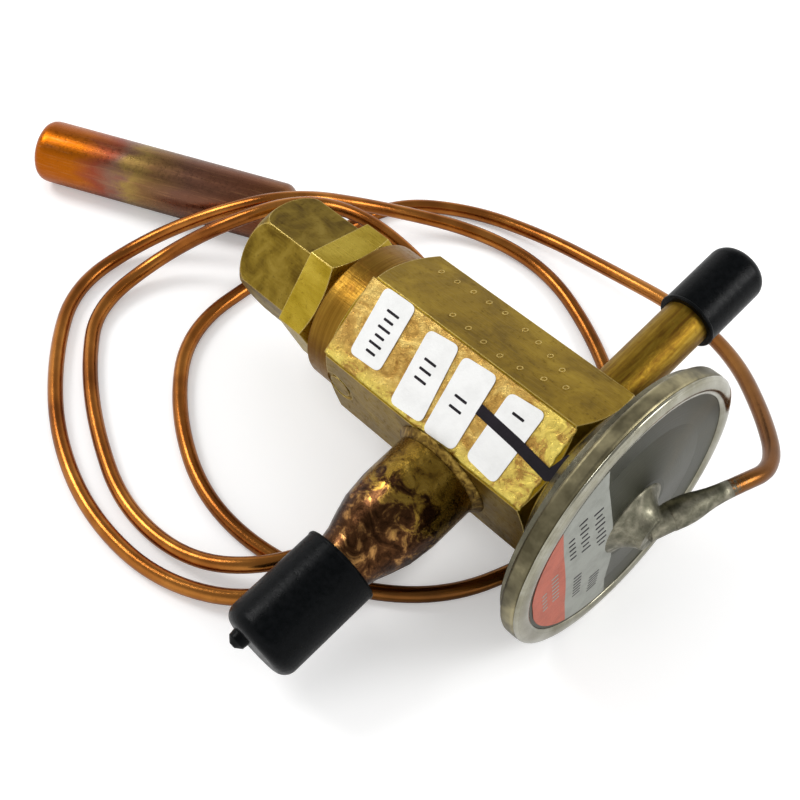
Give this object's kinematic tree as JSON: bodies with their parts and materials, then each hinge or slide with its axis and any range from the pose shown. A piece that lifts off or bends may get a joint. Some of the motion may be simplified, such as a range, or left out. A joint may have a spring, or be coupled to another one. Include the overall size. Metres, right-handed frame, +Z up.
{
  "type": "thermostatic expansion valve",
  "caption": "Hexagonal brass expansion valve with a rolled diaphragm head, solder tubes under black caps, a coiled copper capillary and its sensing bulb.",
  "frame": {"origin": "on the table, under the middle of the valve without its capillary and bulb", "axes": "+X along the valve toward the power element, +Y toward the inlet tube, +Z up, with the valve lying on its rim, bulb and capillary"},
  "size_m": [0.1819, 0.1276, 0.057],
  "materials": {
    "brass_body": "brushed, stained",
    "brass_turned": "satin",
    "brass_dull": "dull, mottled",
    "copper_bell": "stained, half polished",
    "copper_bulb": "heat tinted",
    "copper_tube": "satin",
    "solder": "dull",
    "steel_shell": "brushed",
    "steel_rim": "polished",
    "steel_inner": "ground",
    "black_vinyl": "soft sheen",
    "packing": "matt"
  },
  "bodies": {
    "valve": {"valve_body": "brass_body", "bonnet": "brass_turned", "bonnet_gasket": "brass_dull", "stem_packing": "packing", "gland_nut": "brass_turned", "seat_orifice": "steel_inner", "element_lower_shell": "steel_shell", "diaphragm": "steel_inner", "element_upper_shell": "steel_rim", "element_gasket": "packing", "capillary_boss": "solder", "inlet_tube": "brass_turned", "inlet_braze": "solder", "inlet_strainer": "steel_inner", "strainer_ring": "brass_turned", "outlet_bell": "copper_bell", "outlet_braze": "solder", "superheat_spring": "steel_inner", "capillary_tube": "copper_tube", "bulb_braze": "solder", "sensing_bulb": "copper_bulb"},
    "seal_cap_body": {"seal_cap": "brass_dull"},
    "stem": {"adjusting_stem": "brass_turned"},
    "guide": {"spring_guide": "brass_turned"},
    "pin_assembly": {"valve_pin": "steel_inner", "pin_carrier": "brass_turned", "push_rod_upper": "steel_inner", "push_rod_lower": "steel_inner", "buffer_plate": "brass_turned"},
    "inlet_cap_body": {"inlet_cap": "black_vinyl"},
    "outlet_cap_body": {"outlet_cap": "black_vinyl"}
  },
  "joints": [
    {"name": "seal_cap_removal", "type": "slide", "parent": "valve", "child": "seal_cap_body", "axis": [-0.9992, 0, -0.0401], "range_m": [0, 0.01]},
    {"name": "stem_turn", "type": "hinge", "parent": "valve", "child": "stem", "pos_m": [-0.04235, 0.00341, 0.02522], "axis": [0.9992, 0, 0.0401], "range_deg": [-720, 720]},
    {"name": "guide_travel", "type": "slide", "parent": "valve", "child": "guide", "axis": [0.9992, 0, 0.0401], "range_m": [-0.002, 0.002], "deforming": ["superheat_spring"]},
    {"name": "pin_lift", "type": "slide", "parent": "valve", "child": "pin_assembly", "axis": [-0.9992, 0, -0.0401], "range_m": [0, 0.0008], "stiffness_N_per_m": 2000, "deforming": ["superheat_spring"]},
    {"name": "inlet_cap_pull", "type": "slide", "parent": "valve", "child": "inlet_cap_body", "axis": [-0.009, 0.9744, 0.2248], "range_m": [0, 0.02]},
    {"name": "outlet_cap_pull", "type": "slide", "parent": "valve", "child": "outlet_cap_body", "axis": [0.009, -0.9744, -0.2248], "range_m": [0, 0.022]}
  ],
  "couplings": [
    {"joint": "guide_travel", "follows": "stem_turn", "m_per_rad": 0.00015915}
  ]
}
